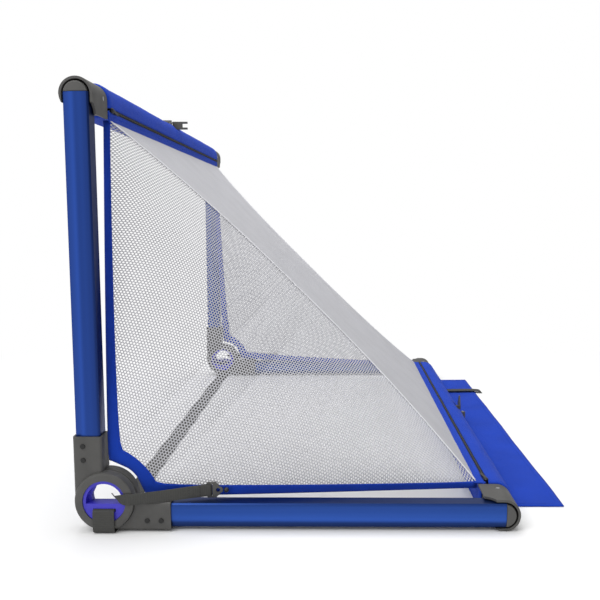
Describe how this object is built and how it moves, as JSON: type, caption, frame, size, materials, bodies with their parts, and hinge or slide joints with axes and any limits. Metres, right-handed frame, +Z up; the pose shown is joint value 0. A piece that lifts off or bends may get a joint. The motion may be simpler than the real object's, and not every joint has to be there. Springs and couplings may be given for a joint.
{
  "type": "pop up goal",
  "caption": "Folding garden goal: blue aluminium posts and ground bars on round hub hinges, sleeved cross members that fold at mid-length, and a mesh net.",
  "frame": {"origin": "on the ground at mid-width, straight below the common axis of the hub hinges", "axes": "+X from the mouth to the rear, +Y from the goal's right side to its left side as seen by a player facing the mouth from the rear, +Z up"},
  "size_m": [0.8727, 1.2072, 0.7627],
  "materials": {
    "anodised_blue": "satin anodised",
    "mill_aluminium": "mill",
    "pin_steel": "turned",
    "screw_black": "black oxide",
    "ball_black": "moulded",
    "core_blue": "moulded",
    "plastic_grey": "fine moulded texture",
    "blue_fabric": "plain weave",
    "net_mesh": "knitted mesh with round holes",
    "webbing_grey": "ribbed webbing"
  },
  "bodies": {
    "ground_right": {"ground_tube_right": "anodised_blue", "ground_end_cap_right": "plastic_grey", "hub_ground_housing_right": "plastic_grey", "ground_screw_outer_right": "screw_black", "ground_screw_inner_right": "screw_black", "rear_hood_right": "plastic_grey", "rear_corner_pin_right": "pin_steel", "hub_core_right": "core_blue", "side_net_right": "net_mesh", "tension_strap_right": "webbing_grey", "tension_buckle_right": "plastic_grey", "tension_ball_right": "ball_black", "back_net": "net_mesh", "goal_line_strap": "webbing_grey", "ground_flap": "blue_fabric", "flap_strap": "webbing_grey"},
    "post_right": {"post_tube_right": "anodised_blue", "post_end_cap_right": "plastic_grey", "hub_post_housing_right": "plastic_grey", "post_screw_outer_right": "screw_black", "post_screw_inner_right": "screw_black", "top_hood_right": "plastic_grey", "top_corner_pin_right": "pin_steel"},
    "crossbar_right": {"crossbar_knuckle_right": "plastic_grey", "crossbar_tube_right": "mill_aluminium", "crossbar_hinge_leaf_right": "plastic_grey", "crossbar_centre_pin": "pin_steel", "crossbar_sleeve": "blue_fabric"},
    "crossbar_left": {"crossbar_knuckle_left": "plastic_grey", "crossbar_tube_left": "mill_aluminium", "crossbar_hinge_leaf_left": "plastic_grey", "fold_catch_fork": "plastic_grey"},
    "post_left": {"post_tube_left": "anodised_blue", "post_end_cap_left": "plastic_grey", "hub_post_housing_left": "plastic_grey", "post_screw_outer_left": "screw_black", "post_screw_inner_left": "screw_black", "top_hood_left": "plastic_grey", "top_corner_pin_left": "pin_steel"},
    "ground_left": {"ground_tube_left": "anodised_blue", "ground_end_cap_left": "plastic_grey", "hub_ground_housing_left": "plastic_grey", "ground_screw_outer_left": "screw_black", "ground_screw_inner_left": "screw_black", "rear_hood_left": "plastic_grey", "rear_corner_pin_left": "pin_steel", "hub_core_left": "core_blue", "side_net_left": "net_mesh", "tension_strap_left": "webbing_grey", "tension_buckle_left": "plastic_grey", "tension_ball_left": "ball_black"},
    "rear_bar_right": {"rear_bar_knuckle_right": "plastic_grey", "rear_bar_tube_right": "mill_aluminium", "rear_bar_hinge_leaf_right": "plastic_grey", "rear_bar_centre_pin": "pin_steel", "rear_bar_sleeve": "blue_fabric"},
    "rear_bar_left": {"rear_bar_knuckle_left": "plastic_grey", "rear_bar_tube_left": "mill_aluminium", "rear_bar_hinge_leaf_left": "plastic_grey", "fold_catch_fin": "plastic_grey"}
  },
  "joints": [
    {"name": "hub_fold", "type": "hinge", "parent": "ground_right", "child": "post_right", "pos_m": [0, -0.58, 0.0537], "axis": [0, 1, 0], "range_deg": [0, 87], "deforming": ["side_net_right", "back_net", "tension_strap_right", "tension_buckle_right", "tension_ball_right"]},
    {"name": "width_fold", "type": "hinge", "parent": "post_right", "child": "crossbar_right", "pos_m": [-0.0265, -0.535, 0.7217], "axis": [-1, 0, 0], "range_deg": [0, 88], "deforming": ["goal_line_strap", "ground_flap", "flap_strap"]},
    {"name": "crossbar_centre_fold", "type": "hinge", "parent": "crossbar_right", "child": "crossbar_left", "pos_m": [-0.0265, 0, 0.7562], "axis": [-1, 0, 0], "range_deg": [-176, 0], "deforming": ["crossbar_sleeve"]},
    {"name": "top_left_fold", "type": "hinge", "parent": "crossbar_left", "child": "post_left", "pos_m": [-0.0265, 0.535, 0.7217], "axis": [-1, 0, 0], "range_deg": [0, 88]},
    {"name": "hub_left_fold", "type": "hinge", "parent": "post_left", "child": "ground_left", "pos_m": [0, 0.58, 0.0537], "axis": [0, 1, 0], "range_deg": [-87, 0], "deforming": ["side_net_left", "tension_strap_left", "tension_buckle_left", "tension_ball_left"]},
    {"name": "rear_right_fold", "type": "hinge", "parent": "ground_right", "child": "rear_bar_right", "pos_m": [0.668, -0.535, 0.0272], "axis": [0, 0, 1], "range_deg": [0, 88]},
    {"name": "rear_centre_fold", "type": "hinge", "parent": "rear_bar_right", "child": "rear_bar_left", "pos_m": [0.7025, 0, 0.0272], "axis": [0, 0, 1], "range_deg": [-176, 0], "deforming": ["rear_bar_sleeve"]}
  ],
  "couplings": [
    {"joint": "crossbar_centre_fold", "follows": "width_fold", "ratio": -2},
    {"joint": "top_left_fold", "follows": "width_fold", "ratio": 1},
    {"joint": "hub_left_fold", "follows": "hub_fold", "ratio": -1},
    {"joint": "rear_right_fold", "follows": "width_fold", "ratio": 1},
    {"joint": "rear_centre_fold", "follows": "width_fold", "ratio": -2}
  ]
}
